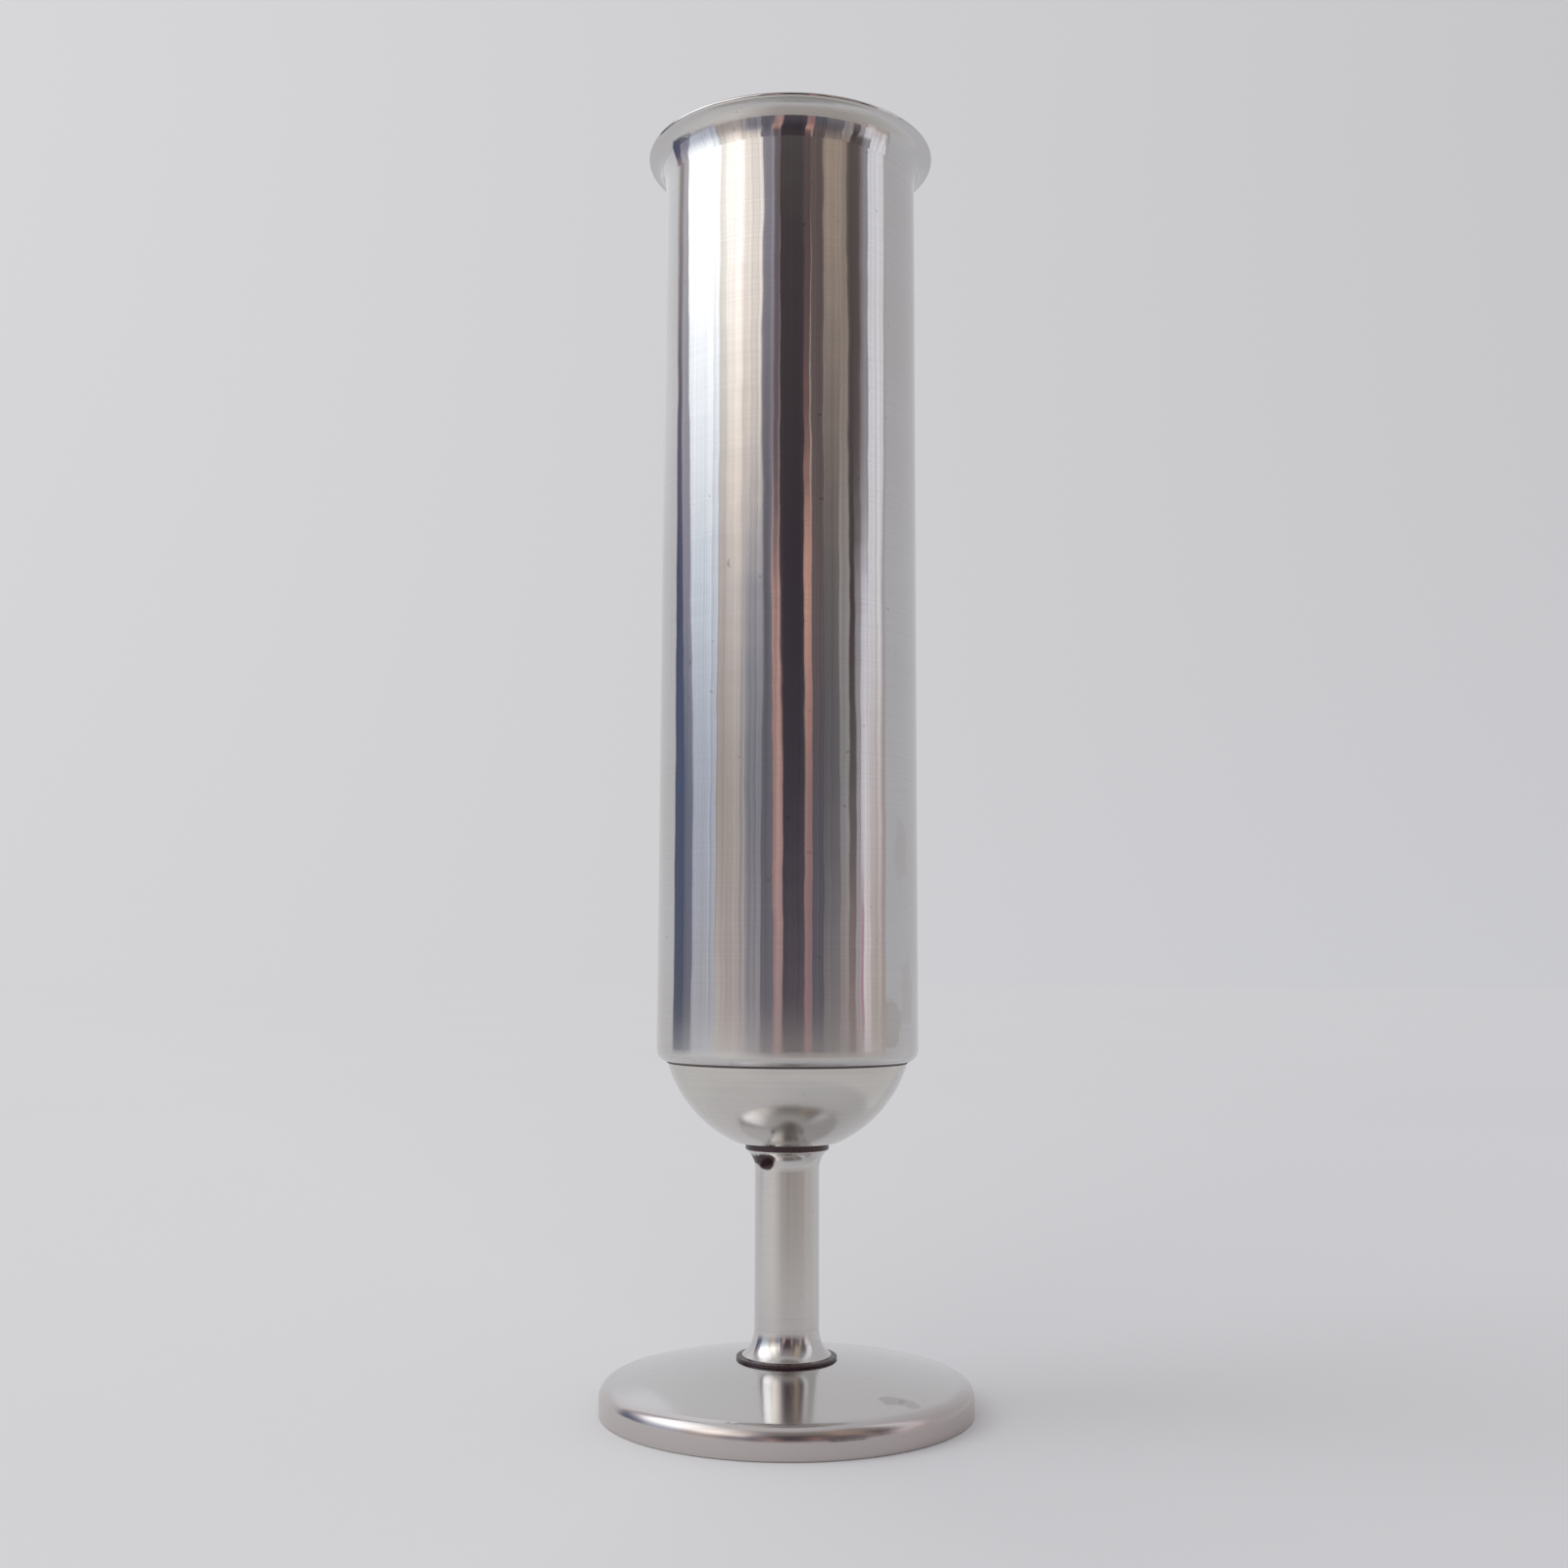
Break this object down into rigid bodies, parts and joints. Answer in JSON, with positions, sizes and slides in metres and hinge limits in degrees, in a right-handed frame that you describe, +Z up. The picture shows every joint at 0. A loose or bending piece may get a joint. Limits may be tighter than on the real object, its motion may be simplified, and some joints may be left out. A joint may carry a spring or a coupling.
{
  "type": "bud vase",
  "caption": "Footed stainless steel bud vase: a slim brushed tube with a flared lip on a round bowl, a short turned stem and a heavy disc foot.",
  "frame": {"origin": "centre of the foot's underside, on the surface the vase stands on", "axes": "+Z up along the axis of the tube; the vase is round, so X and Y are free"},
  "size_m": [0.0574, 0.0574, 0.2007],
  "materials": {
    "satin_steel": "satin, brushed around the axis",
    "bowl_steel": "fine satin",
    "polished_steel": "polished, lightly worn",
    "gasket_rubber": "matte, dark brown-black",
    "sealant": "matte, dark",
    "ballast_iron": "as cast",
    "fastener_steel": "plain",
    "pad_felt": "felt, dark"
  },
  "bodies": {
    "root": {"vase_tube": "satin_steel", "bowl": "bowl_steel", "seam_seal": "sealant", "weld_stud": "fastener_steel", "upper_gasket": "gasket_rubber", "stem": "polished_steel", "lower_gasket": "gasket_rubber", "foot_shell": "polished_steel", "foot_ballast": "ballast_iron", "flat_washer": "fastener_steel", "spring_washer": "fastener_steel", "foot_screw": "fastener_steel", "foot_pad": "pad_felt"}
  },
  "joints": []
}
